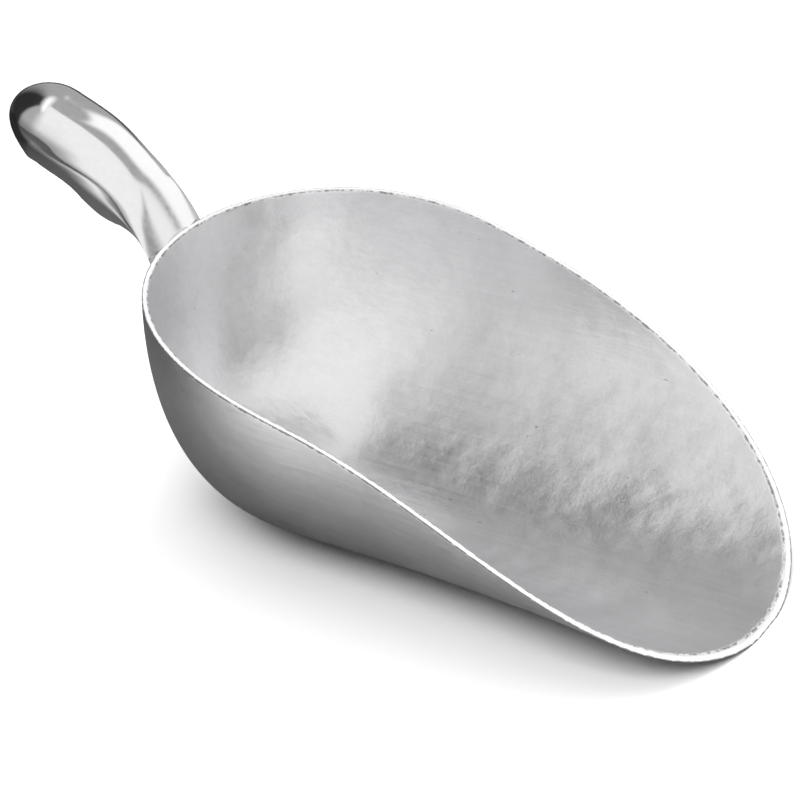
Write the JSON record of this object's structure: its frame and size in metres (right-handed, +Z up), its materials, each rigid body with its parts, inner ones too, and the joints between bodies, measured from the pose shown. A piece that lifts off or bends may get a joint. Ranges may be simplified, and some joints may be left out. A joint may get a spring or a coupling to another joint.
{
  "type": "ice scoop",
  "caption": "Round-bottomed metal ice scoop with a sloping open front, a thin ground rim and a short arched grip with finger hollows at its back.",
  "frame": {"origin": "on the floor, under the middle of the scoop's whole bounding box", "axes": "+X from the handle towards the lip, +Y to the left seen from the handle, +Z up; the scoop is symmetric about Y = 0"},
  "size_m": [0.3096, 0.1666, 0.1457],
  "materials": {
    "satin_aluminium": "satin, finely tumbled, rim ground bright",
    "polished_aluminium": "mirror polished"
  },
  "bodies": {
    "root": {"bowl": "satin_aluminium", "handle": "polished_aluminium"}
  },
  "joints": []
}
